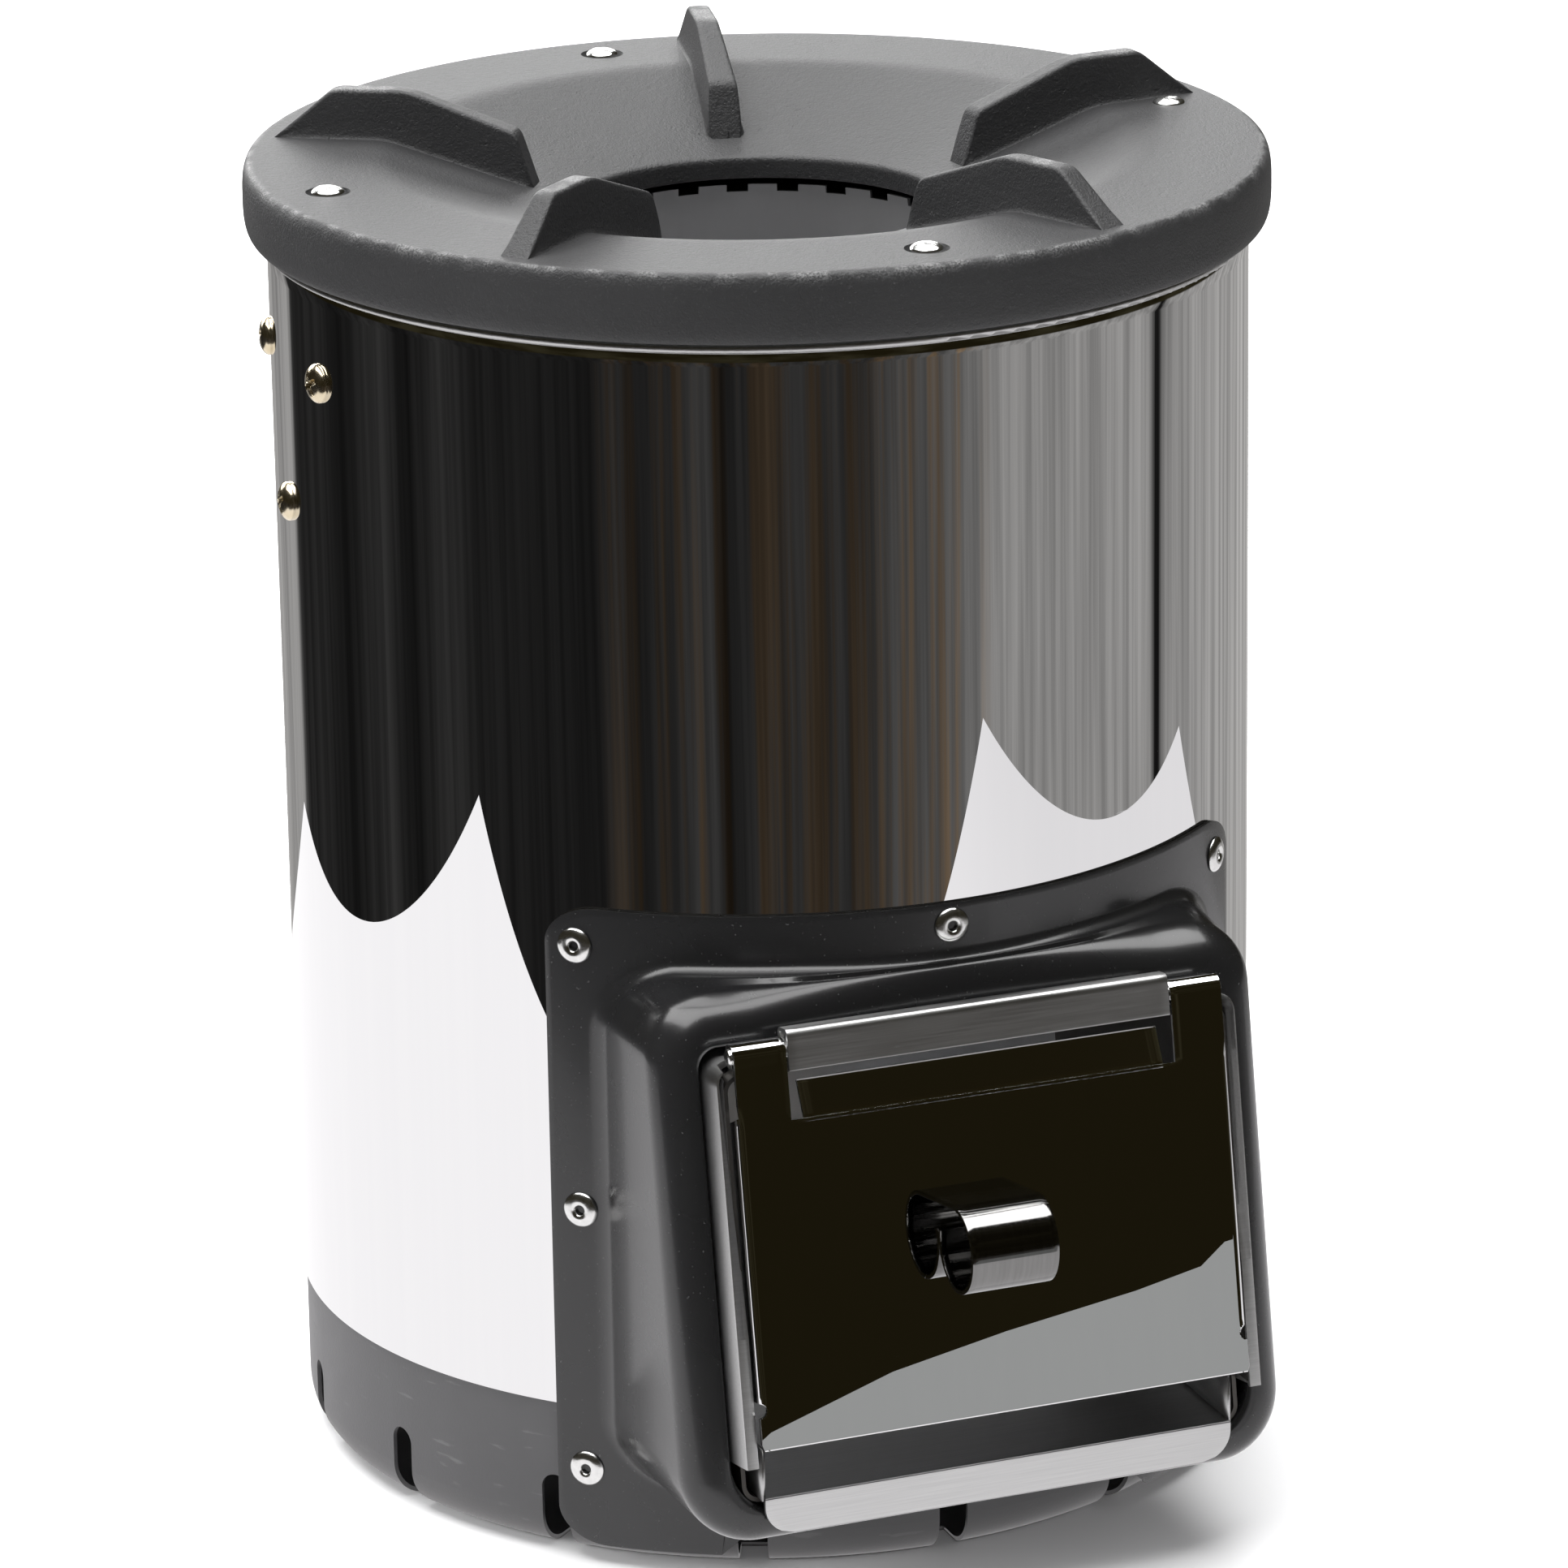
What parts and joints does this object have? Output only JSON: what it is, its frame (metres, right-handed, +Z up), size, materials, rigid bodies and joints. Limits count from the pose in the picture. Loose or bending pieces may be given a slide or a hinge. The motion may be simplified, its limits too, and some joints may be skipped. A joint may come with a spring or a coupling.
{
  "type": "rocket stove",
  "caption": "Portable wood-burning rocket stove: steel shell on a vented base, cast iron pot stand with a central flue, hinged feed door and sliding fuel shelf.",
  "frame": {"origin": "middle of the base pan's flat underside, on the stove's axis", "axes": "+Z up along the axis; the feed door faces -Y; +X is to the right of a person facing the door from outside"},
  "size_m": [0.2404, 0.2814, 0.3237],
  "materials": {
    "base_paint": "satin dark grey heat-resistant paint",
    "bezel_paint": "semi-gloss black heat-resistant paint",
    "polished_steel": "mirror-polished stainless steel",
    "brushed_steel": "brushed stainless steel",
    "inner_steel": "plain mill-finish stainless steel",
    "rivet_steel": "bright stainless steel",
    "nickel_steel": "nickel-plated steel with a warm tint",
    "cast_iron": "matt anthracite cast iron",
    "ceramic_wool": "pale ceramic wool"
  },
  "bodies": {
    "stove": {"base_pan": "base_paint", "floor_plate": "inner_steel", "outer_shell": "polished_steel", "bezel": "bezel_paint", "bezel_rivets": "rivet_steel", "burn_chamber": "inner_steel", "feed_tunnel": "inner_steel", "insulation_jacket": "ceramic_wool", "top_cover": "brushed_steel", "cast_iron_top": "cast_iron", "top_bolts": "rivet_steel", "top_nuts": "nickel_steel", "side_plates": "inner_steel", "side_screws": "nickel_steel", "side_nuts": "nickel_steel", "door_frame": "brushed_steel", "hinge_rod": "rivet_steel"},
    "door": {"door_panel": "polished_steel", "curl_handle": "polished_steel"},
    "shelf": {"fuel_shelf": "brushed_steel"}
  },
  "joints": [
    {"name": "door_swing", "type": "hinge", "parent": "stove", "child": "door", "pos_m": [0, -0.12957, 0.13757], "axis": [-1, 0, 0], "range_deg": [0, 155]},
    {"name": "shelf_slide", "type": "slide", "parent": "stove", "child": "shelf", "axis": [0, -1, 0], "range_m": [0, 0.1]}
  ]
}
